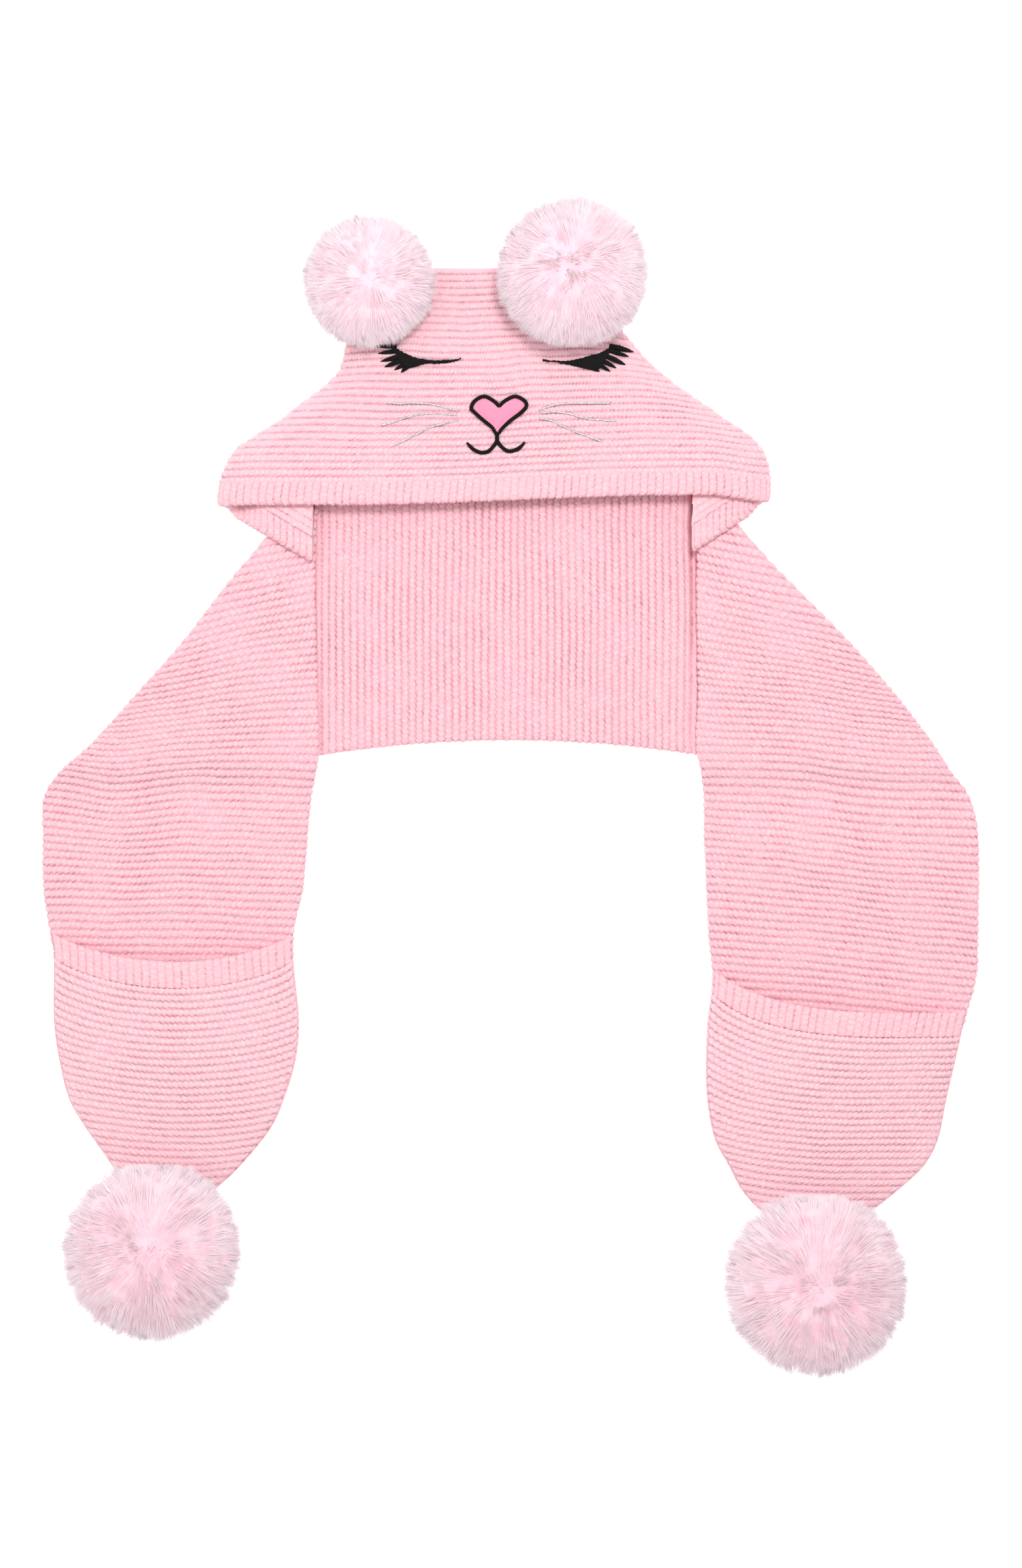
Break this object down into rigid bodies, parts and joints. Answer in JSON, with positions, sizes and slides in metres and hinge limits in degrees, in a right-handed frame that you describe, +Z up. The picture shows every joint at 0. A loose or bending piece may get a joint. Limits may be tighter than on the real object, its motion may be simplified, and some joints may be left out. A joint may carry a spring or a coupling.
{
  "type": "animal hood scarf",
  "caption": "Child's knitted scarf with an attached hood, embroidered animal face, fur pompom ears, and pocket tails ending in pompoms, laid flat.",
  "frame": {"origin": "middle of the footprint, on the surface that the scarf lies on", "axes": "+Z up from that surface, +Y from the tails' pompoms towards the top of the hood, +X to the right seen from above"},
  "size_m": [0.568, 0.7098, 0.0888],
  "materials": {
    "strip_knit": "soft chenille garter stitch, matt",
    "hood_knit": "soft chenille garter stitch, matt",
    "band_knit": "soft chenille rib, matt",
    "pocket_knit": "soft chenille garter stitch, matt",
    "ear_fur": "long pile fur, pale pink with whiter tips",
    "tail_fur": "long pile fur, pink with paler tips",
    "black_thread": "embroidery cotton, satin stitch",
    "nose_satin": "satin-stitch embroidery, glossy along the thread",
    "silver_thread": "metallic embroidery thread"
  },
  "bodies": {
    "root": {"neck_panel": "strip_knit", "tail_left": "strip_knit", "tail_right": "strip_knit", "hood": "hood_knit", "hood_band": "band_knit", "pocket_left": "pocket_knit", "pocket_band_left": "band_knit", "pocket_right": "pocket_knit", "pocket_band_right": "band_knit", "ear_pompom_left": "ear_fur", "ear_pompom_right": "ear_fur", "tail_pompom_left": "tail_fur", "tail_pompom_right": "tail_fur", "lash_left": "black_thread", "lash_right": "black_thread", "nose_heart": "nose_satin", "nose_outline": "black_thread", "whisker_left_1": "silver_thread", "whisker_left_2": "silver_thread", "whisker_left_3": "silver_thread", "whisker_right_1": "silver_thread", "whisker_right_2": "silver_thread", "whisker_right_3": "silver_thread"}
  },
  "joints": []
}
